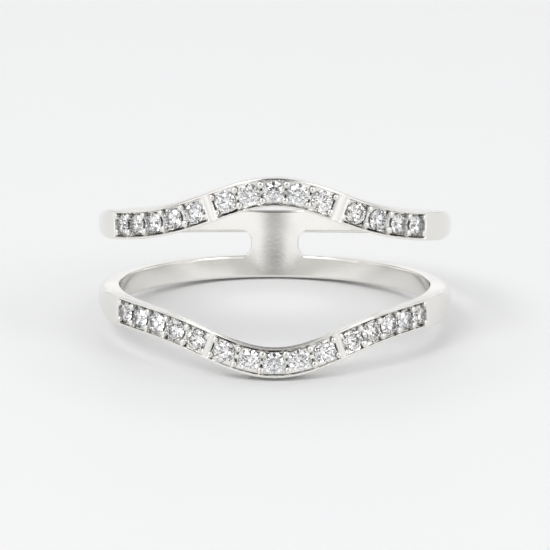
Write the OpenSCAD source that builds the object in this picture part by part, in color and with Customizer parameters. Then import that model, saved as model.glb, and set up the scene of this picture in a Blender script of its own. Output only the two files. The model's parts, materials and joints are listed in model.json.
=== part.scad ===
// Ring guard enhancer: two slim arched bands of bead-set stones, soldered together by a short
// bridge at the back. The gap between their arched fronts frames the head of another ring.
// Lengths are in millimetres and angles in degrees, counted round the finger from the front.

/* [Finger bore] */
// Radius of the bore that the finger goes through
bore_r = 8.65; // [8:0.05:10]

/* [Bands] */
// Thickness of each band, from the bore outwards
band_t = 1.15; // [1.1:0.05:1.6]
// Width of each band's plain shank at the back
shank_w = 1.3; // [1.2:0.05:1.6]
// Distance between the two bands' centre lines at the sides of the finger
side_spacing = 4; // [3.8:0.1:5]
// How far each centre line leans out at the front, and in at the back
lean = 0.7; // [0.3:0.05:0.8]
// Height of the arch at each band's front
arch_rise = 1.95; // [1.4:0.05:2.4]
// Angle from the middle of the arch to where it has fallen to about a third
arch_spread = 28; // [26:0.5:36]
// Angle at which the set front ends and the plain shank begins
front_end = 66; // [60:1:75]
// Angle over which the width then changes to the shank's
shank_fade = 59; // [40:1:80]
// Angle over which the edges then round off
round_fade = 18; // [12:1:30]
// Radius of the outer edges of the set front
front_edge_r = 0.05; // [0.03:0.01:0.08]
// Radius of the outer edges of the shank
shank_edge_r = 0.5; // [0.3:0.05:0.55]
// Bevel on the edges of the bore
bore_bevel = 0.12; // [0.05:0.01:0.2]

/* [Stones] */
// Diameter of the round stones
stone_d = 1.2; // [1:0.02:1.4]
// Least gap between the girdles of neighbouring stones
stone_gap = 0.07; // [0.04:0.01:0.2]
// Gap between a stone and the seat that holds it
seat_gap = 0.02; // [0.01:0.01:0.04]
// How far the stones' tables lie below the rails
table_drop = 0.02; // [0:0.01:0.08]
// How far the stones' girdles stand above the floor of their channel
girdle_lift = 0.06; // [0.02:0.01:0.1]

/* [Channels] */
// Width of the rail along each side of a channel
rail_w = 0.12; // [0.1:0.01:0.2]
// Gap between the stones and the tops of the rails
rail_gap = 0.065; // [0.04:0.005:0.1]
// Length of the sloping wall at each end of a channel
channel_end = 0.08; // [0.04:0.01:0.12]

/* [Grains] */
// Radius of the grains raised between the stones
grain_r = 0.13; // [0.08:0.01:0.15]
// Gap between a grain and the foot of the rail beside it
grain_gap = 0.06; // [0.04:0.01:0.12]
// Distance of a channel's last grains from its end
grain_inset = 0.06; // [0:0.01:0.1]
// How far the grains' tops lie below the rails
grain_drop = 0.04; // [0:0.01:0.1]

/* [Bridge] */
// Length of the bridge, round the back of the finger
bridge_l = 3; // [2:0.1:6]
// Thickness of the bridge, from the bore outwards
bridge_t = 0.95; // [0.7:0.05:1.1]

/* [Hidden] */
// Columns of the tables of channels and stones
NAME = 0;
FIRST = 1;
LAST = 2;
ANGLE = 1;
// Channels of each band from left to right: name, first and last angle as shares of front_end
UPPER_SHARES = [
    ["upper_left", -0.977, -0.347],
    ["upper_middle", -0.308, 0.295],
    ["upper_right", 0.347, 0.879]
];
LOWER_SHARES = [
    ["lower_left", -0.94, -0.339],
    ["lower_middle", -0.314, 0.314],
    ["lower_right", 0.338, 0.897]
];

// Cut of the stones: radii and heights as shares of the stone's diameter
TABLE_SHARE = 0.29;
CROWN_SHARE = 0.15;
STAR_SHARE = 0.4;
GIRDLE_SHARE = 0.03;
PAVILION_SHARE = 0.43;
LOWER_HALF_SHARE = 0.12;
MAINS = 8;
MAIN_STEP = 360 / MAINS;

// Half-width of a channel's floor as a share of that between its rails
FLOOR_SHARE = 0.94;
// How far the middle of a rounded edge lies in from its corner, as a share of its radius
CORNER_SHARE = 1 - sqrt(1 / 2);
// Largest radius of an edge as a share of its wall
EDGE_LIMIT = 0.9;
// Angle up to which the walls run straight back, and angle from which they point to the bore's middle
STRAIGHT_TO = 55;
RADIAL_FROM = 90;
// Steps of the bands' sweep, and of the slope that is measured on it, as angles
FRONT_STEP = 3;
SHANK_STEP = 4;
SLOPE_STEP = 0.5;
// Angle of each sector of the bore
BORE_SECTOR = 60;
// How far cuts run past what they cut, and what is joined runs into it
OVERCUT = 0.2;
ROUND = 48;
// Times that the line on which the guard rests is moved to its lowest points
REST_ROUNDS = 5;

degree_l = (bore_r + band_t) * PI / 180;
front_w = stone_d + 2 * (rail_gap + rail_w);
shank_edge = min(shank_edge_r, EDGE_LIMIT * min(shank_w / 2, band_t - bore_bevel));
channel_d = table_drop + (CROWN_SHARE + GIRDLE_SHARE) * stone_d + girdle_lift;
floor_half = FLOOR_SHARE * (stone_d / 2 + rail_gap);
girdle_v = band_t - table_drop - (CROWN_SHARE + GIRDLE_SHARE / 2) * stone_d;

function wrapped(a) = a - 360 * round(a / 360);
function mix(from, to, share) = from + (to - from) * share;
function eased(share) = let (s = min(max(share, 0), 1)) s * s * (3 - 2 * s);

// Height of the upper band's centre line over the plane midway between the bands
function path_z(a) =
    side_spacing / 2 + lean * cos(a) + arch_rise * exp(-pow(wrapped(a) / arch_spread, 2));
// Angle at which that line climbs
function path_climb(a) =
    atan((path_z(a + SLOPE_STEP) - path_z(a - SLOPE_STEP)) / (2 * SLOPE_STEP * degree_l));

// The same line's height inside the band, v outwards from the bore. Under the arch it runs straight
// back from the band's face, so that the walls are seen edge on from the front.
function inner_z(a, v) =
    let (
        turn = wrapped(a),
        straight = asin((bore_r + v) / (bore_r + band_t) * sin(turn)),
        radial = eased((abs(turn) - STRAIGHT_TO) / (RADIAL_FROM - STRAIGHT_TO))
    )
    path_z(mix(straight, turn, radial));

// Place on the upper band: u across it from its centre line, v outwards from the bore
function on_band(a, u, v) =
    let (climb = path_climb(a), turned = a - u * sin(climb) / degree_l, r = bore_r + v)
    [r * sin(turned), -r * cos(turned), inner_z(a, v) + u * cos(climb)];

// Section of a band at an angle, as [u, v] points round from one edge of the bore to the other
function section(a, depth) =
    let (
        past_front = abs(wrapped(a)) - front_end,
        rounding = eased(past_front / round_fade),
        half = mix(front_w, shank_w, eased(past_front / shank_fade)) / 2,
        edge = mix(front_edge_r, shank_edge, rounding),
        corner = CORNER_SHARE * edge,
        inner = half - mix(rail_w, (half + shank_edge) / 2, rounding),
        foot = [half - bore_bevel - OVERCUT, -OVERCUT],
        top = [
            [half, bore_bevel],
            [half, band_t - edge],
            [half - corner, band_t - corner],
            [half - edge, band_t],
            [inner, band_t],
            [FLOOR_SHARE * inner, band_t - depth]
        ]
    )
    concat(
        [foot],
        top,
        [for (k = [len(top) - 1:-1:0]) [-top[k].x, top[k].y]],
        [[-foot.x, foot.y]]
    );

// Rows of a band's sweep, each the angle of a section and the depth of its channel
function channel_rows(channel) =
    let (
        wall = channel_end / degree_l,
        from = channel[FIRST] + wall,
        to = channel[LAST] - wall,
        steps = ceil((to - from) / FRONT_STEP)
    )
    concat(
        [[channel[FIRST], 0]],
        [for (k = [0:steps]) [mix(from, to, k / steps), channel_d]],
        [[channel[LAST], 0]]
    );
function band_rows(channels) =
    let (
        from = channels[len(channels) - 1][LAST],
        to = channels[0][FIRST] + 360,
        steps = ceil((to - from) / SHANK_STEP)
    )
    concat(
        [for (c = channels) each channel_rows(c)],
        [for (k = [1:steps - 1]) [mix(from, to, k / steps), 0]]
    );
function band_rings(channels) =
    [for (row = band_rows(channels)) [for (p = section(row[0], row[1])) on_band(row[0], p.x, p.y)]];

function to_angles(shares) =
    [for (row = shares) [row[NAME], front_end * row[FIRST], front_end * row[LAST]]];
UPPER_CHANNELS = to_angles(UPPER_SHARES);
LOWER_CHANNELS = to_angles(LOWER_SHARES);
UPPER_RINGS = band_rings(UPPER_CHANNELS);
LOWER_RINGS = band_rings(LOWER_CHANNELS);

// How many stones fit in a channel, and the angle from one to the next
function stone_count(channel) =
    let (
        climb = path_climb((channel[FIRST] + channel[LAST]) / 2),
        length = (channel[LAST] - channel[FIRST]) * degree_l / cos(climb)
    )
    floor(length / (stone_d + stone_gap));
function stone_pitch(channel) = (channel[LAST] - channel[FIRST]) / stone_count(channel);
// Rows of a channel's stones: name, angle
function channel_stones(channel) = [
    for (k = [1:stone_count(channel)])
        [str(channel[NAME], "_stone_", k), channel[FIRST] + (k - 1 / 2) * stone_pitch(channel)]
];
// Rows of a channel's pairs of grains: angle, angle from there to the nearest stone
function channel_grains(channel) =
    let (last = stone_count(channel), pitch = stone_pitch(channel), inset = grain_inset / degree_l)
    [
        for (k = [0:last])
            let (inwards = k == 0 ? inset : k == last ? -inset : 0)
            [channel[FIRST] + k * pitch + inwards, pitch / 2 - abs(inwards)]
    ];
UPPER_STONES = [for (c = UPPER_CHANNELS) each channel_stones(c)];
LOWER_STONES = [for (c = LOWER_CHANNELS) each channel_stones(c)];

// The guard lies on the lower band's arch and back: slope of the line on which both rest
function outside(rings) =
    [for (ring = rings) for (p = ring) if (norm([p.x, p.y]) >= bore_r) [p.y, p.z]];
BELOW = [for (p = outside(LOWER_RINGS)) [p.x, -p.y]];
function lowest(side, slope) =
    let (
        there = [for (p = BELOW) if (p.x * side > 0) p],
        heights = [for (p = there) p.y - slope * p.x]
    )
    there[search(min(heights), heights)[0]];
function rest_slope(slope, rounds) =
    rounds == 0 ? slope :
    let (front = lowest(-1, slope), back = lowest(1, slope))
    rest_slope((back.y - front.y) / (back.x - front.x), rounds - 1);
rest_tilt = atan(rest_slope(0, REST_ROUNDS));
RESTING = [
    for (p = concat(outside(UPPER_RINGS), BELOW))
        [p.x * cos(rest_tilt) + p.y * sin(rest_tilt), p.y * cos(rest_tilt) - p.x * sin(rest_tilt)]
];
floor_z = min([for (p = RESTING) p.y]);
middle_y = (min([for (p = RESTING) p.x]) + max([for (p = RESTING) p.x])) / 2;

// Lays the guard on its side: the front arch lifts until arch and back touch the floor
module laid_down() {
    translate([0, -middle_y, -floor_z])
        rotate([-rest_tilt, 0, 0])
            children();
}

// Puts what is drawn face up on the upper band, at an angle and a height over the bore
module set_on_band(a, v) {
    translate([0, 0, inner_z(a, v)])
        rotate([0, 0, a])
            translate([0, -(bore_r + v), 0])
                rotate([90, 0, 0])
                    rotate([0, 0, path_climb(a)])
                        children();
}

// One band's plain metal, closed round the finger through its rings of points
module band(rings) {
    n = len(rings);
    m = len(rings[0]);
    polyhedron(
        points = [for (ring = rings) each ring],
        faces = [
            for (i = [0:n - 1], j = [0:m - 1])
                let (
                    here = i * m + j,
                    beside = i * m + (j + 1) % m,
                    ahead = (i + 1) % n * m + j,
                    across = (i + 1) % n * m + (j + 1) % m
                )
                each [[here, ahead, across], [here, across, beside]]
        ],
        convexity = 6
    );
}

// The grains of one band's channels, in pairs beside the rails and clear of the stones
module grains(channels) {
    clear = stone_d / 2 + 2 * seat_gap + grain_r;
    for (c = channels, g = channel_grains(c)) {
        along = g[1] * degree_l / cos(path_climb(g[0]));
        off = max(floor_half - grain_gap - grain_r, sqrt(max(clear * clear - along * along, 0)));
        set_on_band(g[0], band_t - channel_d)
            for (side = [-1, 1])
                translate([0, side * off, -OVERCUT / 2])
                    cylinder(h = channel_d - grain_drop + OVERCUT / 2, r = grain_r, $fn = ROUND);
    }
}

// What is cut from one band's metal under and round its stones
module seats(stones) {
    seat_r = stone_d / 2 + seat_gap;
    bearing = GIRDLE_SHARE * stone_d / 2 + seat_gap;
    depth = bearing + PAVILION_SHARE * stone_d;
    for (s = stones)
        set_on_band(s[ANGLE], girdle_v)
            rotate_extrude($fn = ROUND)
                polygon([
                    [0, -depth],
                    [seat_gap, -depth],
                    [seat_r, -bearing],
                    [seat_r, channel_d],
                    [0, channel_d]
                ]);
}

// What is cut from the metal for the finger, sector by sector, the first at the front. Each
// stretch of a band's wavy inner wall then stays a face of its own, with the band behind it.
module bore() {
    height = 2 * (path_z(0) + front_w);
    for (k = [0:360 / BORE_SECTOR - 1])
        rotate([0, 0, BORE_SECTOR * (k - 1 / 2) - 90])
            rotate_extrude(angle = BORE_SECTOR, $fn = 4 * ROUND)
                translate([0, -height / 2])
                    square([bore_r, height]);
}

// The bridge that joins the two shanks behind the finger
module bridge() {
    turn = bridge_l / degree_l;
    height = 2 * path_z(180);
    rotate([0, 0, 90 - turn / 2])
        rotate_extrude(angle = turn, $fn = 2 * ROUND)
            translate([bore_r - OVERCUT / 2, -height / 2])
                square([bridge_t + OVERCUT / 2, height]);
}

// Round brilliant with its girdle's middle at z = 0 and its table upwards
module brilliant(d) {
    half_girdle = GIRDLE_SHARE * d / 2;
    main_cos = cos(MAIN_STEP / 2);
    star_r = STAR_SHARE * d;
    star_z = half_girdle + CROWN_SHARE * d * (d / 2 - star_r * main_cos) / (d / 2 - TABLE_SHARE * d);
    low_r = LOWER_HALF_SHARE * d;
    low_z = -half_girdle - PAVILION_SHARE * d * (1 - low_r * main_cos / (d / 2));
    // Each ring: radius, height, first angle, number of points
    rings = [
        [TABLE_SHARE * d, half_girdle + CROWN_SHARE * d, 0, MAINS],
        [star_r, star_z, MAIN_STEP / 2, MAINS],
        [d / 2, half_girdle, 0, 2 * MAINS],
        [d / 2, -half_girdle, 0, 2 * MAINS],
        [low_r, low_z, MAIN_STEP / 2, MAINS]
    ];
    table = 0;
    star = MAINS;
    top = 2 * MAINS;
    bottom = 4 * MAINS;
    low = 6 * MAINS;
    culet = 7 * MAINS;
    polyhedron(
        points = concat(
            [
                for (ring = rings, k = [0:ring[3] - 1])
                    let (a = ring[2] + k * 360 / ring[3])
                    [ring[0] * cos(a), ring[0] * sin(a), ring[1]]
            ],
            [[0, 0, -half_girdle - PAVILION_SHARE * d]]
        ),
        faces = concat(
            [[for (k = [MAINS - 1:-1:0]) table + k]],
            [
                for (k = [0:MAINS - 1])
                    let (
                        next = (k + 1) % MAINS,
                        last = (k + MAINS - 1) % MAINS,
                        main = 2 * k,
                        mid = 2 * k + 1,
                        on = (2 * k + 2) % (2 * MAINS)
                    )
                    each [
                        [table + k, table + next, star + k],
                        [table + k, star + k, top + main, star + last],
                        [star + k, top + mid, top + main],
                        [star + k, top + on, top + mid],
                        [top + main, top + mid, bottom + mid, bottom + main],
                        [top + mid, top + on, bottom + on, bottom + mid],
                        [bottom + main, bottom + mid, low + k],
                        [bottom + mid, bottom + on, low + k],
                        [bottom + main, low + k, culet, low + last]
                    ]
            ]
        ),
        convexity = 2
    );
}

// All the metal, soldered into one piece
module guard() {
    color([0.86, 0.85, 0.83])
        laid_down()
            difference() {
                union() {
                    band(UPPER_RINGS);
                    grains(UPPER_CHANNELS);
                    mirror([0, 0, 1]) {
                        band(LOWER_RINGS);
                        grains(LOWER_CHANNELS);
                    }
                    bridge();
                }
                bore();
                seats(UPPER_STONES);
                mirror([0, 0, 1])
                    seats(LOWER_STONES);
            }
}

// One stone of the upper band, or of the lower one where side is -1
module stone(row, side) {
    color([0.93, 0.95, 0.98])
        laid_down()
            mirror([0, 0, side < 0 ? 1 : 0])
                set_on_band(row[ANGLE], girdle_v)
                    brilliant(stone_d);
}

guard();
for (s = UPPER_STONES) stone(s, 1);
for (s = LOWER_STONES) stone(s, -1);
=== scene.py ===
import json
import math

import bmesh
import bpy
import numpy as np
from mathutils import Matrix, Vector


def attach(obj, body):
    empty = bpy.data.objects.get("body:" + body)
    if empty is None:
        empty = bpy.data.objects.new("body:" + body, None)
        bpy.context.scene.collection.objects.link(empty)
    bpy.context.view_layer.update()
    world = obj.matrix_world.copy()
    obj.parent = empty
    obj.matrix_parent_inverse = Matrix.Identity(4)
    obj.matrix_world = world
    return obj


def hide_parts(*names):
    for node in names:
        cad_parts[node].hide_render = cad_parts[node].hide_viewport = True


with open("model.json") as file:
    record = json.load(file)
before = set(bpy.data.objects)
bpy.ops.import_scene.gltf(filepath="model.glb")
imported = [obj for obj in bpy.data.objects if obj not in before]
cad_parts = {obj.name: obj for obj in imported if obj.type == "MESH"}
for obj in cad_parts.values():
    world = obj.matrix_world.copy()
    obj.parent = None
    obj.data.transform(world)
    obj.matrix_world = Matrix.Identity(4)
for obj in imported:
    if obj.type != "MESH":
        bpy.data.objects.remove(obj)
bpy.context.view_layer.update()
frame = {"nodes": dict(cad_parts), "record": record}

# Lengths are in millimetres and angles in degrees, counted round the finger from the front, as in
# the model's source. MM turns them into metres.
MM = 0.001
FULL_TURN = 360
BACK = FULL_TURN / 2

# Bands
BAND_T = 1.15
SHANK_W = 1.3
SIDE_SPACING = 4
LEAN = 0.7
ARCH_RISE = 1.95
ARCH_SPREAD = 28
STRAIGHT_TO = 55
RADIAL_FROM = 90
FRONT_END = 66
SHANK_FADE = 59
ROUND_FADE = 18
FRONT_EDGE = 0.05
SHANK_EDGE = 0.5
BORE_BEVEL = 0.12

# Stones, rails and channels
STONE_D = 1.2
SEAT_GAP = 0.02
TABLE_DROP = 0.02
CROWN_SHARE = 0.15
GIRDLE_SHARE = 0.03
PAVILION_SHARE = 0.43
GIRDLE_LIFT = 0.06
RAIL_W = 0.12
RAIL_GAP = 0.065
# Bevel along the rails' inner edges: its width and how far down it goes
RAIL_EASE = 0.025
RAIL_CUT = 0.06
# Bright cuts across the lands between the channels: their depth, and as shares of the land how far
# from its ends they lie and half their width
LAND_CUT = 0.016
LAND_CUT_AT = 1 / 6
LAND_CUT_HALF = 1 / 6
CHANNEL_END = 0.08
FLOOR_SHARE = 0.94
# A slot is open beside a stone and closed by the metal of the grains: where it starts to open and
# where it is fully open, as shares of the pitch
SLOT_FROM = 0.1
SLOT_FULL = 0.2
# Pits where two stones and a grain meet: their steps across the floor
PIT_STEPS = (4, 8)
# How dull the metal is in its recesses and how dark the painted shade there is, from 0 on the rails
# to 1 as far below the floor as this. The grains' heads are as dull as that but without painted
# shade, which is -1.
DARK_DEPTH = 0.25
FLOOR_RECESS = 0.3
SEAT_RECESS = 0.3
LOOSE_RECESS = 0.85
GRAIN_RECESS = -1

# Grains
GRAIN_R = 0.13
GRAIN_GAP = 0.06
GRAIN_INSET = 0.06
GRAIN_DROP = 0.04
# Their heads: width as a share of their own, height of the dome, how far it rises over the source's
# plain posts, how far under its top the post ends in heights of the dome, how much they vary, and
# the angle at which the head turns in under its edge
GRAIN_HEAD = 1.48
GRAIN_DOME = 0.11
GRAIN_RISE = 0.03
GRAIN_NECK = 1.8
GRAIN_VARIES = 0.07
GRAIN_UNDER = -50

# Bridge
BRIDGE_L = 3
BRIDGE_T = 0.95
BRIDGE_EDGE = 0.22
# Its waist, and how its width and its thickness grow towards the bands: by how much at their edges,
# by which power of the way there, and until how many times that way
BRIDGE_WAIST = 0.1
BRIDGE_FLARE = 0.3
FLARE_POWER = 3
BRIDGE_FILLET = 0.07
FILLET_POWER = 4
FLARE_UNTIL = 1.25
# How far its ends reach into the bands, and how little it stands proud of the bands' bore there
BRIDGE_INTO = 0.35
BRIDGE_PROUD = 0.004

# Steps of the meshes
SLOPE_STEP = 0.5
CELL_STEPS = 12
EDGE_STEPS = 7
BEVEL_STEPS = 5
SHANK_STEP = 1.4
LAND_STEPS = 12
GRAIN_SIDES = 18
GRAIN_RINGS = 9
BRIDGE_ROWS = 40
BRIDGE_STEPS = 12
BRIDGE_CORNER_STEPS = 4
# Rows down a band's plain side and across half its bore, as shares of them
SIDE_ROWS = (0.08, 0.5, 0.92)
BORE_ROWS = (0.9, 0.5)
# Each stone's cell of the channel: its sides, the angle of its first corner seen from the stone, its
# rings from the edge to the seat's mouth and from there to the seat's tip, as shares of the way, and
# the share by which the metal is level with the mouth
CELL_SIDES = 4
CELL_CORNER = 225
CELL_RINGS = (0.12, 0.55)
SEAT_RINGS = (0.3, 0.65, 0.97)
LEVEL_BY = 0.25
# How far a grain's foot reaches into the metal, the seed of the grains' sizes, the distance at which
# points are joined, in metres, and the angle from which an edge is sharp
OVERLAP = 0.1
SEED = 7
WELD = 1e-7
SHARP = math.radians(38)

# Channels of each band from left to right: name, first and last angle as shares of FRONT_END, how
# far the finished rails reach further in than the source's plain ones (the one facing the other
# band, then the one away from it), depth of the pits, and depth of the open slot beside each stone,
# along the rail that faces the other band
CHANNELS = {
    "upper": [
        ("left", -0.977, -0.347, (0.025, 0.025), 0.03, (0.05, 0.12, 0.17, 0.2, 0.2)),
        ("middle", -0.308, 0.295, (-0.01, 0.015), 0.25, (0.25, 0.1, 0.06, 0.06, 0.06)),
        ("right", 0.347, 0.879, (0.025, 0.025), 0.03, (0.2, 0.2, 0.17, 0.12)),
    ],
    "lower": [
        ("left", -0.94, -0.339, (0.025, 0.025), 0.03, (0.1, 0.2, 0.2, 0.2, 0.2)),
        ("middle", -0.314, 0.314, (-0.03, 0.025), 0.25, (0.2, 0.2, 0.2, 0.05, 0.05)),
        ("right", 0.338, 0.897, (0.025, 0.025), 0.03, (0.2, 0.2, 0.2, 0.2, 0.1)),
    ],
}
# Seats that show beside their stone as a crescent darkened by painted shade (LOOSE_RECESS): band,
# channel, stone, how far they are off to the right and how much wider they are
LOOSE_SEATS = {("upper", "right", 0): (0.09, 0.05)}

# The guard's own frame, read from the finger bore: its middle, and z along it
bore = next(m for m in frame["record"]["mounts"] if m["name"] == "finger_bore")
BORE_R = bore["dims"]["r_mm"]
CENTRE = np.array(bore["pos_m"]) / MM
AXIS = np.array(bore["axis"])
GUARD_AXES = np.array([[1.0, 0.0, 0.0], np.cross(AXIS, [1.0, 0.0, 0.0]), AXIS])

# Length of a degree on the bands' outside, and sizes that follow from those above
DEGREE = (BORE_R + BAND_T) * math.pi / BACK
FRONT_W = STONE_D + 2 * (RAIL_GAP + RAIL_W)
CHANNEL_D = TABLE_DROP + (CROWN_SHARE + GIRDLE_SHARE) * STONE_D + GIRDLE_LIFT
GIRDLE_V = BAND_T - TABLE_DROP - (CROWN_SHARE + GIRDLE_SHARE / 2) * STONE_D
FLOOR_V = BAND_T - CHANNEL_D
FLOOR_HALF = FLOOR_SHARE * (STONE_D / 2 + RAIL_GAP)
SEAT_R = STONE_D / 2 + SEAT_GAP
SEAT_BEARING = GIRDLE_SHARE * STONE_D / 2 + SEAT_GAP
SEAT_DEPTH = SEAT_BEARING + PAVILION_SHARE * STONE_D
CELL_POINTS = CELL_SIDES * CELL_STEPS
CELL_TURNS = np.radians(CELL_CORNER + FULL_TURN * np.arange(CELL_POINTS) / CELL_POINTS)

# Camera: its tilt over the guard's own level, distance, half of the width it sees, what it aims at
# below and left of the bore's middle, and its roll
SENSOR = 36
VIEW_TILT = 6.17
VIEW_DISTANCE = 300
VIEW_HALF = 15.334
AIM_BELOW = 0.869
AIM_LEFT = -0.019
VIEW_ROLL = 0.21
NEAREST_SEEN = 0.01

# White gold: colours by how deep a point lies in a recess, darker deeper down as painted shade,
# roughness from clear to cloudy places and what the deepest recess adds to it, its noises (scale,
# detail) and bumps (strength, metres)
GOLD_AND_PAINTED_SHADE_COLOURS = [
    (0, (0.842, 0.829, 0.8)), (0.5, (0.78, 0.769, 0.742)), (0.95, (0.15, 0.147, 0.142)),
]
GOLD_ROUGHNESS = (0.07, 0.2)
RECESS_ROUGHNESS = 0.15
GOLD_CLOUD = (900, 4)
GOLD_FINE = (5200, 3)
GOLD_FINE_BUMP = (0.05, 0.00002)
GOLD_HAND = (320, 1)
GOLD_HAND_BUMP = (0.6, 0.00003)
# Diamond: its tints from warm to cool and the noise that spreads them, and its haze
DIAMOND_IOR = 2.417
DIAMOND_TINTS = [(0.35, (1, 0.988, 0.972)), (0.65, (0.97, 0.985, 1))]
DIAMOND_PATCH = (650, 0)
DIAMOND_ROUGHNESS = (0, 0.02)
DIAMOND_HAZE = (4000, 2)
# Floor: half its width in metres, colour and roughness
GROUND = 3
GROUND_COLOUR = (0.848, 0.852, 0.858)
GROUND_ROUGHNESS = 0.6

# Studio: brightness of the surroundings by height (sine of the elevation), round the object (from
# behind over the left, front and right to behind), and how far the second counts, by height
SKY_STRENGTH = 1.23
SKY_OVER = [
    (0, 0.82), (0.1, 0.93), (0.3, 1), (0.42, 0.95), (0.5, 0.3), (0.58, 0.25), (0.66, 1), (0.8, 0.95),
    (0.88, 0.6), (0.95, 0.3), (1, 0.25),
]
SKY_AROUND = [
    (0, 0.95), (0.06, 0.9), (0.1, 0.3), (0.14, 0.9), (0.27, 1), (0.3, 0.6), (0.33, 1), (0.5, 1),
    (0.67, 1), (0.7, 0.6), (0.73, 1), (0.86, 0.9), (0.9, 0.3), (0.94, 0.9), (1, 0.95),
]
SKY_FADE = [(0, 1), (0.5, 0.7), (0.9, 0)]
# Dark opening in front: its elevation, and its brightness by the cosine of the angle from it
OPENING_UP = 25
OPENING = [(0, 1), (0.92, 1), (0.957, 0.06), (1, 0.04)]
# Lights: name, azimuth and elevation from the object, distance, width, height (metres), watts
LIGHTS = [
    ("key", -40, 50, 0.5, 0.2, 0.2, 0.63),
    ("fill", 55, 35, 0.5, 0.15, 0.2, 0.32),
    ("back", 180, 45, 0.5, 0.5, 0.35, 0.15),
]


def mix(start, end, share):
    return start + (end - start) * share


def eased(share):
    s = np.clip(share, 0, 1)
    return s * s * (3 - 2 * s)


def quarter(steps):
    return np.linspace(0, math.pi / 2, steps + 1)


def wrapped(a):
    return a - FULL_TURN * np.round(a / FULL_TURN)


def path_z(a):
    arch = ARCH_RISE * np.exp(-((wrapped(a) / ARCH_SPREAD) ** 2))
    return SIDE_SPACING / 2 + LEAN * np.cos(np.radians(a)) + arch


def climb(a):
    return np.arctan((path_z(a + SLOPE_STEP) - path_z(a - SLOPE_STEP)) / (2 * SLOPE_STEP * DEGREE))


def inner_z(a, v):
    """Height of the band's centre line inside the metal: straight back under the arch."""
    turn = wrapped(a)
    reach = (BORE_R + v) / (BORE_R + BAND_T)
    straight = np.degrees(np.arcsin(np.clip(reach * np.sin(np.radians(turn)), -1, 1)))
    radial = eased((np.abs(turn) - STRAIGHT_TO) / (RADIAL_FROM - STRAIGHT_TO))
    return path_z(mix(straight, turn, radial))


def on_band(a, u, v):
    """Places on the upper band: u across it from its centre line, v outwards from the bore."""
    slope = climb(a)
    turned = np.radians(a - u * np.sin(slope) / DEGREE)
    r = BORE_R + v
    z = inner_z(a, v) + u * np.cos(slope)
    return np.stack(np.broadcast_arrays(r * np.sin(turned), -r * np.cos(turned), z), -1)


def set_on_band(a, x, y, v, seat_v):
    """Places face up on the band at one angle: x along it, y across it, v outwards from the bore.

    What is set there stands square to the band, in line with its centre at the depth seat_v.
    """
    slope = float(climb(np.float64(a)))
    along = np.array([math.cos(math.radians(a)), math.sin(math.radians(a)), 0])
    out = np.array([math.sin(math.radians(a)), -math.cos(math.radians(a)), 0])
    c = x * math.cos(slope) - y * math.sin(slope)
    z = x * math.sin(slope) + y * math.cos(slope) + float(inner_z(np.float64(a), seat_v))
    r = np.asarray(BORE_R + v)
    return c[..., None] * along + r[..., None] * out + z[..., None] * np.array([0, 0, 1])


def half_width(a):
    return mix(FRONT_W, SHANK_W, eased((np.abs(wrapped(a)) - FRONT_END) / SHANK_FADE)) / 2


def rounding(a):
    return eased((np.abs(wrapped(a)) - FRONT_END) / ROUND_FADE)


def rail_inner(a):
    half = half_width(a)
    return half - mix(RAIL_W, (half + SHANK_EDGE) / 2, rounding(a))


def rail_edges(a, channel):
    """Inner edges of the finished rails, facing the other band and away from it."""
    return [rail_inner(a) - more * (1 - rounding(a)) for more in channel["rails"]]


class Shape:
    """Collects grids of points into one mesh, with how deep each point lies in a recess."""

    def __init__(self):
        self.points, self.depths, self.faces = [], [], []
        self.count = 0

    def grid(self, points, depth, close_rows=False, close_columns=False, keep=None):
        rows, columns = points.shape[:2]
        base = self.count
        self.points.append(points.reshape(-1, 3))
        self.depths.append(np.broadcast_to(depth, (rows, columns)).reshape(-1))
        self.count += rows * columns
        for i in range(rows if close_rows else rows - 1):
            if keep is not None and not keep[i]:
                continue
            for j in range(columns if close_columns else columns - 1):
                ahead, beside = (i + 1) % rows, (j + 1) % columns
                self.faces.append(
                    tuple(base + k for k in (
                        i * columns + j, ahead * columns + j,
                        ahead * columns + beside, i * columns + beside,
                    ))
                )

    def build(self, name, mirrored=False):
        points = np.concatenate(self.points)
        if mirrored:
            points = points * [1, 1, -1]
        points = (CENTRE + points @ GUARD_AXES) * MM
        mesh = bpy.data.meshes.new(name)
        mesh.from_pydata(points.tolist(), [], self.faces)
        # The recess of each point dulls the metal and darkens its colour as painted shade
        recess = mesh.attributes.new("recess", "FLOAT", "POINT")
        recess.data.foreach_set("value", np.concatenate(self.depths).astype(np.float32))
        work = bmesh.new()
        work.from_mesh(mesh)
        bmesh.ops.remove_doubles(work, verts=work.verts, dist=WELD)
        bmesh.ops.recalc_face_normals(work, faces=work.faces)
        work.to_mesh(mesh)
        work.free()
        mesh.shade_smooth()
        mesh.set_sharp_from_angle(angle=SHARP)
        piece = bpy.data.objects.new(name, mesh)
        bpy.context.scene.collection.objects.link(piece)
        return piece


def channels_of(band):
    """A band's channels, each with its angles, its count of stones and its slots."""
    made = []
    for name, first, last, rails, pit_depth, slots in CHANNELS[band]:
        count = sum(node.startswith(f"{band}_{name}_stone_") for node in frame["nodes"])
        made.append({
            "first": FRONT_END * first,
            "last": FRONT_END * last,
            "count": count,
            "rails": rails,
            "pit_depth": pit_depth,
            "slots": slots,
            "loose": [LOOSE_SEATS.get((band, name, k), (0, 0)) for k in range(count)],
        })
    return made


def recess_at(v):
    """How deep in a recess a point lies, which sets its painted shade: FLOOR_RECESS on the channel's
    floor.
    """
    down = [0, CHANNEL_D, CHANNEL_D + DARK_DEPTH]
    return np.interp(BAND_T - v, down, [0, FLOOR_RECESS, 1])


def along_channel(channel, inset):
    """Angles along a channel, CELL_STEPS to each stone, its two ends moved in by the inset."""
    count = channel["count"]
    marks = np.linspace(channel["first"], channel["last"], count + 1)
    marks[0] += inset / DEGREE
    marks[-1] -= inset / DEGREE
    return np.interp(np.arange(count * CELL_STEPS + 1) / CELL_STEPS, np.arange(count + 1), marks)


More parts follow.
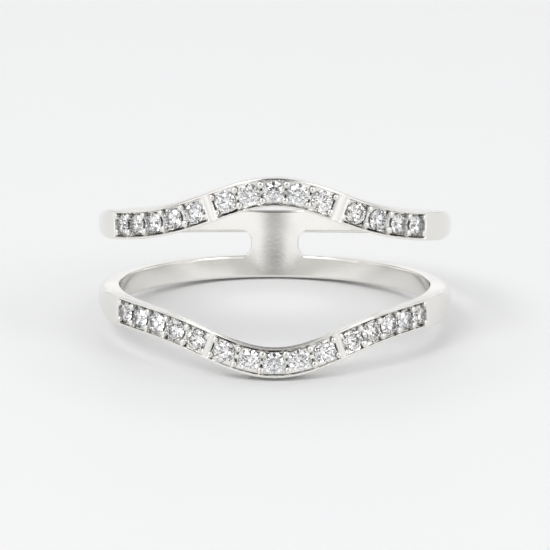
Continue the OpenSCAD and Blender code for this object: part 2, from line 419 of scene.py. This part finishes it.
def slot_open(channel):
    """How far the slots are open along a channel, from 0 to 1."""
    place = np.arange(channel["count"] * CELL_STEPS + 1) % CELL_STEPS / CELL_STEPS
    return eased((np.minimum(place, 1 - place) - SLOT_FROM) / (SLOT_FULL - SLOT_FROM))


def slot_sunk(channel):
    """How far the slots go down below the floor along a channel."""
    depths = np.repeat(channel["slots"], CELL_STEPS)
    return slot_open(channel) * np.append(depths, 0)


def foot_minus(channel, inner):
    """Foot of the wall facing the other band: at the rail where a slot is open."""
    return inner * mix(FLOOR_SHARE, 1, slot_open(channel))


def round_loop(a, minus, plus, v_minus, v_plus):
    """Closed line: along the minus side, across the far end, back along the plus side and across."""
    across = np.arange(CELL_STEPS) / CELL_STEPS
    ends = [np.full(CELL_STEPS, end) for end in (a[-1], a[0])]
    angles = np.concatenate([a[:-1], ends[0], a[:0:-1], ends[1]])
    u = np.concatenate([
        -minus[:-1], mix(-minus[-1], plus[-1], across),
        plus[:0:-1], mix(plus[0], -minus[0], across),
    ])
    v = np.concatenate([v_minus[:-1], np.full(len(a) - 1 + 2 * CELL_STEPS, v_plus)])
    return angles, u, v


def land_cut(share):
    """Depth of the two bright cuts along a land."""
    from_end = np.minimum(share, 1 - share)
    return LAND_CUT * np.maximum(0, 1 - np.abs(from_end - LAND_CUT_AT) / LAND_CUT_HALF)


def add_shell(shape, channels):
    """A band's outside, from one rail over the side and the bore to the other, and its plain top."""
    angles, cuts, inner_minus, inner_plus, closed = [], [], [], [], []
    for i, channel in enumerate(channels):
        here = along_channel(channel, 0)
        angles.extend(here)
        closed.extend([False] * (len(here) - 1))
        last = i + 1 == len(channels)
        until = channels[0]["first"] + FULL_TURN if last else channels[i + 1]["first"]
        steps = math.ceil((until - channel["last"]) / SHANK_STEP) if last else LAND_STEPS
        shares = np.arange(1, steps) / steps
        between = mix(channel["last"], until, shares)
        angles.extend(between)
        cuts.extend([0] * len(here))
        cuts.extend(0 * shares if last else land_cut(shares))
        minus, plus = rail_edges(np.concatenate([here, between]), channel)
        inner_minus.extend(minus + RAIL_EASE)
        inner_plus.extend(plus + RAIL_EASE)
        closed.extend([True] * steps)
    a = np.array(angles)[:, None]
    top_v = BAND_T - np.array(cuts)[:, None]
    half = half_width(a)
    edge = mix(FRONT_EDGE, SHANK_EDGE, rounding(a))

    def side(inner):
        columns = [(inner, top_v)]
        for t in quarter(EDGE_STEPS):
            columns.append((half - edge + edge * math.sin(t), BAND_T - edge + edge * math.cos(t)))
        for share in SIDE_ROWS:
            columns.append((half, mix(BAND_T - edge, BORE_BEVEL, share)))
        for t in quarter(BEVEL_STEPS):
            over = BORE_BEVEL * (1 - math.sin(t))
            columns.append((half - BORE_BEVEL * (1 - math.cos(t)), over + 0 * a))
        for share in BORE_ROWS:
            columns.append(((half - BORE_BEVEL) * share, 0 * a))
        return np.hstack([c[0] for c in columns]), np.hstack([c[1] for c in columns])

    minus, plus = np.array(inner_minus)[:, None], np.array(inner_plus)[:, None]
    u_minus, v_minus = side(minus)
    u_plus, v_plus = side(plus)
    u = np.hstack([u_plus, 0 * a, -u_minus[:, ::-1]])
    v = np.hstack([v_plus, 0 * a, v_minus[:, ::-1]])
    shape.grid(on_band(a, u, v), 0, close_rows=True)
    across = np.arange(CELL_STEPS + 1) / CELL_STEPS
    top = mix(plus, -minus, across)
    shape.grid(on_band(a, top, top_v), 0, close_rows=True, keep=closed)


def seat_ring(middle, aside, wider, v):
    """Ring of a stone's seat, its points in line with those round the stone's cell."""
    h = v - GIRDLE_V + SEAT_DEPTH
    r = SEAT_GAP + wider + (SEAT_R - SEAT_GAP) * h / (SEAT_DEPTH - SEAT_BEARING)
    x, y = aside + r * np.cos(CELL_TURNS), r * np.sin(CELL_TURNS)
    return set_on_band(middle, x, y, v, GIRDLE_V)


def swung(ring, v):
    """A ring of points moved in or out to a height over the bore."""
    ring[:, :2] *= ((BORE_R + v) / np.hypot(ring[:, 0], ring[:, 1]))[:, None]
    return ring


def add_channel(shape, channel):
    """A channel's walls and floor, and under each stone its seat."""
    sunk = FLOOR_V - slot_sunk(channel)
    rings, depths = [], []
    # Lines down the walls: inset at the ends, share of the rails' bevel, share of the depth
    for inset, bevel, v_share in (
        (0, 1, 0),
        (RAIL_CUT / 2, 0.5, RAIL_CUT / 2 / CHANNEL_D),
        (RAIL_CUT, 0, RAIL_CUT / CHANNEL_D),
        (CHANNEL_END, 0, 1),
    ):
        a = along_channel(channel, inset)
        inner = rail_inner(a)
        foot = v_share == 1
        edge_minus, edge_plus = rail_edges(a, channel)
        plus = FLOOR_SHARE * inner if foot else edge_plus + RAIL_EASE * bevel
        minus = foot_minus(channel, inner) if foot else edge_minus + RAIL_EASE * bevel
        v_plus = mix(BAND_T, FLOOR_V, v_share)
        angles, u, v = round_loop(a, minus, plus, mix(BAND_T, sunk, v_share), v_plus)
        rings.append(on_band(angles, u, v))
        depths.append(recess_at(v))
    shape.grid(np.array(rings), np.array(depths), close_columns=True)

    a_foot = along_channel(channel, CHANNEL_END)
    inner = rail_inner(a_foot)
    minus = foot_minus(channel, inner)
    pitch = (channel["last"] - channel["first"]) / channel["count"]
    mouth_v, tip = FLOOR_V, GIRDLE_V - SEAT_DEPTH
    for k in range(channel["count"]):
        cell = slice(k * CELL_STEPS, (k + 1) * CELL_STEPS + 1)
        plus = FLOOR_SHARE * inner[cell]
        angles, u, v = round_loop(a_foot[cell], minus[cell], plus, sunk[cell], FLOOR_V)
        for side, shared in ((1, k + 1 < channel["count"]), (3, k > 0)):
            for step in PIT_STEPS if shared else ():
                v[side * CELL_STEPS + step] -= channel["pit_depth"]
        edge = on_band(angles, u, v)
        middle = channel["first"] + (k + 0.5) * pitch
        aside, wider = channel["loose"][k]
        mouth = swung(seat_ring(middle, aside, wider, mouth_v), mouth_v)
        loops, depths = [edge], [recess_at(v)]
        for share in CELL_RINGS:
            v_ring = mix(v, mouth_v, eased(share / LEVEL_BY))
            loops.append(swung(mix(edge, mouth, share), v_ring))
            depths.append(recess_at(v_ring))
        loops.append(mouth)
        for share in SEAT_RINGS:
            loops.append(seat_ring(middle, aside, wider, mix(mouth_v, tip, share)))
        centre = np.zeros(CELL_POINTS)
        loops.append(set_on_band(middle, centre, centre, tip, GIRDLE_V))
        # Seats are darkened by painted shade, the ones that show beside their stone most
        shade = LOOSE_RECESS if wider else SEAT_RECESS
        depths.extend([np.full(CELL_POINTS, shade)] * (len(loops) - len(depths)))
        shape.grid(np.array(loops), np.array(depths), close_columns=True)


def add_grains(shape, channel, chance):
    """Pairs of domed grains between the stones and at the channel's ends, each a little different."""
    clear = STONE_D / 2 + 2 * SEAT_GAP + GRAIN_R
    pitch = (channel["last"] - channel["first"]) / channel["count"]
    turn = np.linspace(0, 2 * math.pi, GRAIN_SIDES, endpoint=False)
    for k in range(channel["count"] + 1):
        inwards = (GRAIN_INSET if k == 0 else -GRAIN_INSET if k == channel["count"] else 0) / DEGREE
        a = channel["first"] + k * pitch + inwards
        along = (pitch / 2 - abs(inwards)) * DEGREE / math.cos(float(climb(np.float64(a))))
        off = max(FLOOR_HALF - GRAIN_GAP - GRAIN_R, math.sqrt(max(clear**2 - along**2, 0)))
        for side in (-1, 1):
            head = GRAIN_R * GRAIN_HEAD * chance.uniform(1 - GRAIN_VARIES, 1 + GRAIN_VARIES)
            dome = GRAIN_DOME * chance.uniform(1 - GRAIN_VARIES, 1 + GRAIN_VARIES)
            top = BAND_T - GRAIN_DROP + GRAIN_RISE
            # Rings of a grain: radius, place outwards from the bore, recess (painted shade on its
            # post, none on its head)
            profile = [
                (0, FLOOR_V - OVERLAP, FLOOR_RECESS),
                (GRAIN_R, FLOOR_V - OVERLAP, FLOOR_RECESS),
                (GRAIN_R, top - GRAIN_NECK * dome, FLOOR_RECESS / 2),
            ]
            for t in np.linspace(GRAIN_UNDER, 90, GRAIN_RINGS):
                low = math.cos(math.radians(t))
                radius = mix(GRAIN_R, head, low) if t < 0 else head * low
                profile.append((radius, top - dome + dome * math.sin(math.radians(t)), GRAIN_RECESS))
            rings = [
                set_on_band(a, r * np.cos(turn), side * off + r * np.sin(turn), v, FLOOR_V)
                for r, v, _ in profile
            ]
            depth = np.array([d for _, _, d in profile])[:, None]
            shape.grid(np.array(rings), depth, close_columns=True)


def add_bridge(shape):
    """The soldered bridge at the back: a curved plate, its ends flared into the bands and closed."""
    free = float(path_z(np.float64(BACK))) - SHANK_W / 2
    corner = quarter(BRIDGE_CORNER_STEPS)
    across = np.linspace(-1, 1, BRIDGE_STEPS + 1)
    rings = []
    for z in np.linspace(-1, 1, BRIDGE_ROWS + 1) * (free + BRIDGE_INTO):
        near = min(abs(z) / free, FLARE_UNTIL)
        half = BRIDGE_L / 2 - BRIDGE_WAIST + BRIDGE_FLARE * near**FLARE_POWER
        thick = BRIDGE_T + BRIDGE_FILLET * near**FILLET_POWER
        flat = half - BRIDGE_EDGE
        x = np.concatenate([
            flat + BRIDGE_EDGE * np.cos(corner), -flat * across[1:-1],
            -flat - BRIDGE_EDGE * np.cos(corner[::-1]), half * across,
        ])
        v = np.concatenate([
            thick - BRIDGE_EDGE * (1 - np.sin(corner)), np.full(len(across) - 2, thick),
            thick - BRIDGE_EDGE * (1 - np.sin(corner[::-1])), np.full(len(across), -BRIDGE_PROUD),
        ])
        turn = math.pi + x / (BORE_R + BRIDGE_T)
        r = BORE_R + v
        rings.append(np.stack([r * np.sin(turn), -r * np.cos(turn), np.full(len(x), z)], -1))
    caps = [np.broadcast_to(ring.mean(axis=0), ring.shape) for ring in (rings[0], rings[-1])]
    shape.grid(np.array([caps[0], *rings, caps[1]]), 0, close_columns=True)


def make_metal():
    """The two bands, the lower one a mirror image, and the bridge."""
    pieces = []
    chance = np.random.default_rng(SEED)
    for band in CHANNELS:
        shape = Shape()
        channels = channels_of(band)
        add_shell(shape, channels)
        for channel in channels:
            add_channel(shape, channel)
            add_grains(shape, channel, chance)
        pieces.append(shape.build(f"{band}_band", mirrored=band == "lower"))
    shape = Shape()
    add_bridge(shape)
    pieces.append(shape.build("bridge"))
    return pieces


def feed(tree, node, inputs):
    """Sets a node's inputs, each to a value or to the output that it is linked to."""
    for key, value in inputs.items():
        if isinstance(value, bpy.types.NodeSocket):
            tree.links.new(value, node.inputs[key])
        else:
            node.inputs[key].default_value = value


def add_node(tree, kind, inputs, **settings):
    node = tree.nodes.new(kind)
    for key, value in settings.items():
        setattr(node, key, value)
    feed(tree, node, inputs)
    return node


def add_noise(tree, noise):
    """A noise that is fixed to the object, from its scale and detail."""
    place = add_node(tree, "ShaderNodeTexCoord", {}).outputs["Object"]
    scale, detail = noise
    inputs = {"Vector": place, "Scale": scale, "Detail": detail}
    return add_node(tree, "ShaderNodeTexNoise", inputs).outputs["Fac"]


def add_ramp(tree, value, stops, interpolation="LINEAR"):
    """Colours by a value: each stop is a place and its red, green and blue."""
    ramp = add_node(tree, "ShaderNodeValToRGB", {"Fac": value})
    ramp.color_ramp.interpolation = interpolation
    elements = ramp.color_ramp.elements
    for element, (place, colour) in ((elements[0], stops[0]), (elements[1], stops[-1])):
        element.position = place
        element.color = (*colour, 1)
    for place, colour in stops[1:-1]:
        elements.new(place).color = (*colour, 1)
    return ramp.outputs["Color"]


def add_range(tree, value, ends):
    """A value from 0 to 1 spread between two ends."""
    inputs = {"Value": value, "To Min": ends[0], "To Max": ends[1]}
    return add_node(tree, "ShaderNodeMapRange", inputs).outputs["Result"]


def add_bump(tree, height, bump, normal=None):
    """A bump from its strength and its depth in metres, over another one if there is one."""
    strength, depth = bump
    inputs = {"Height": height, "Strength": strength, "Distance": depth}
    if normal:
        inputs["Normal"] = normal
    return add_node(tree, "ShaderNodeBump", inputs).outputs["Normal"]


def new_material(name):
    material = bpy.data.materials.new(name)
    material.use_nodes = True
    return material, material.node_tree, material.node_tree.nodes["Principled BSDF"]


def white_gold():
    """Polished white gold: faint cloudiness and hairlines, dull in the recesses and darkened there by
    painted shade.
    """
    material, tree, shader = new_material("white_gold")
    # The recess attribute darkens the colour as painted shade and dulls the metal
    recess = add_node(tree, "ShaderNodeAttribute", {}, attribute_name="recess").outputs["Fac"]
    depth = add_node(tree, "ShaderNodeMath", {0: recess}, operation="ABSOLUTE").outputs["Value"]
    polish = add_range(tree, add_noise(tree, GOLD_CLOUD), GOLD_ROUGHNESS)
    sums = {0: depth, 1: RECESS_ROUGHNESS, 2: polish}
    rough = add_node(tree, "ShaderNodeMath", sums, operation="MULTIPLY_ADD").outputs["Value"]
    hairlines = add_bump(tree, add_noise(tree, GOLD_FINE), GOLD_FINE_BUMP)
    feed(tree, shader, {
        "Metallic": 1,
        "Base Color": add_ramp(tree, recess, GOLD_AND_PAINTED_SHADE_COLOURS),
        "Roughness": rough,
        "Normal": add_bump(tree, add_noise(tree, GOLD_HAND), GOLD_HAND_BUMP, hairlines),
    })
    return material


def diamond():
    """Cut diamond: clear, each stone a trace warmer or cooler, with the faintest haze on it."""
    material, tree, shader = new_material("diamond")
    feed(tree, shader, {
        "IOR": DIAMOND_IOR,
        "Transmission Weight": 1,
        "Base Color": add_ramp(tree, add_noise(tree, DIAMOND_PATCH), DIAMOND_TINTS),
        "Roughness": add_range(tree, add_noise(tree, DIAMOND_HAZE), DIAMOND_ROUGHNESS),
    })
    return material


def make_floor():
    mesh = bpy.data.meshes.new("floor")
    corners = [(x * GROUND, y * GROUND, 0) for x, y in ((-1, -1), (1, -1), (1, 1), (-1, 1))]
    mesh.from_pydata(corners, [], [(0, 1, 2, 3)])
    material, tree, shader = new_material("floor")
    feed(tree, shader, {"Base Color": (*GROUND_COLOUR, 1), "Roughness": GROUND_ROUGHNESS})
    mesh.materials.append(material)
    ground = bpy.data.objects.new("floor", mesh)
    bpy.context.scene.collection.objects.link(ground)


def make_camera():
    """The camera at the photograph's angle to the guard, which lies tilted on the floor."""
    elevation = math.radians(VIEW_TILT) + math.asin(AXIS[1])
    outwards = Vector((0, -math.cos(elevation), math.sin(elevation)))
    upwards = Vector((0, math.sin(elevation), math.cos(elevation)))
    aim = Vector(CENTRE) - AIM_BELOW * upwards - Vector((AIM_LEFT, 0, 0))
    data = bpy.data.cameras.new("camera")
    data.sensor_width = SENSOR
    data.lens = SENSOR * VIEW_DISTANCE / (2 * VIEW_HALF)
    data.clip_start = NEAREST_SEEN
    camera = bpy.data.objects.new("camera", data)
    level = outwards.to_track_quat("Z", "Y").to_matrix()
    turned = level @ Matrix.Rotation(math.radians(VIEW_ROLL), 3, "Z")
    place = Matrix.Translation((aim + VIEW_DISTANCE * outwards) * MM)
    camera.matrix_world = place @ turned.to_4x4()
    bpy.context.scene.collection.objects.link(camera)
    bpy.context.scene.camera = camera


def add_greys(tree, value, stops):
    """Brightness by a value, from stops of place and grey."""
    return add_ramp(tree, value, [(place, (grey,) * 3) for place, grey in stops], "EASE")


def make_surroundings():
    """Soft pale surroundings with darker stretches, and a dark opening that the stones mirror."""
    world = bpy.data.worlds.new("studio")
    bpy.context.scene.world = world
    world.use_nodes = True
    tree = world.node_tree
    direction = add_node(tree, "ShaderNodeTexCoord", {}).outputs["Generated"]
    split = add_node(tree, "ShaderNodeSeparateXYZ", {"Vector": direction}).outputs
    front = add_node(tree, "ShaderNodeMath", {0: split["Y"], 1: -1}, operation="MULTIPLY")
    turn = add_node(
        tree, "ShaderNodeMath", {0: split["X"], 1: front.outputs["Value"]}, operation="ARCTAN2"
    )
    share = add_node(
        tree, "ShaderNodeMapRange",
        {"Value": turn.outputs["Value"], "From Min": -math.pi, "From Max": math.pi},
    )
    around = add_node(tree, "ShaderNodeMix", {}, data_type="RGBA")
    feed(tree, around, {
        "Factor": add_greys(tree, split["Z"], SKY_FADE),
        "A": (1, 1, 1, 1),
        "B": add_greys(tree, share.outputs["Result"], SKY_AROUND),
    })
    up = math.radians(OPENING_UP)
    opening = (0, -math.cos(up), math.sin(up))
    towards = add_node(
        tree, "ShaderNodeVectorMath", {0: direction, 1: opening}, operation="DOT_PRODUCT"
    )
    colour = around.outputs["Result"]
    for factor in (
        add_greys(tree, split["Z"], SKY_OVER),
        add_greys(tree, towards.outputs["Value"], OPENING),
    ):
        both = add_node(tree, "ShaderNodeMix", {}, data_type="RGBA", blend_type="MULTIPLY")
        feed(tree, both, {"Factor": 1, "A": colour, "B": factor})
        colour = both.outputs["Result"]
    feed(tree, tree.nodes["Background"], {"Strength": SKY_STRENGTH, "Color": colour})


def make_lights():
    for name, azimuth, elevation, distance, width, height, power in LIGHTS:
        data = bpy.data.lights.new(name, "AREA")
        data.shape = "RECTANGLE"
        data.size = width
        data.size_y = height
        data.energy = power
        lamp = bpy.data.objects.new(name, data)
        az, el = math.radians(azimuth), math.radians(elevation)
        away = Vector((math.sin(az) * math.cos(el), -math.cos(az) * math.cos(el), math.sin(el)))
        lamp.location = away * distance
        lamp.rotation_euler = away.to_track_quat("Z", "Y").to_euler()
        bpy.context.scene.collection.objects.link(lamp)


gold, brilliant = white_gold(), diamond()
for piece in make_metal():
    piece.data.materials.append(gold)
    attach(piece, "root")
    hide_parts("guard")
for name, node in frame["nodes"].items():
    for slot in node.material_slots:
        slot.material = gold if name == "guard" else brilliant

make_floor()
make_camera()
make_surroundings()
make_lights()
bpy.context.scene.view_settings.view_transform = "Standard"
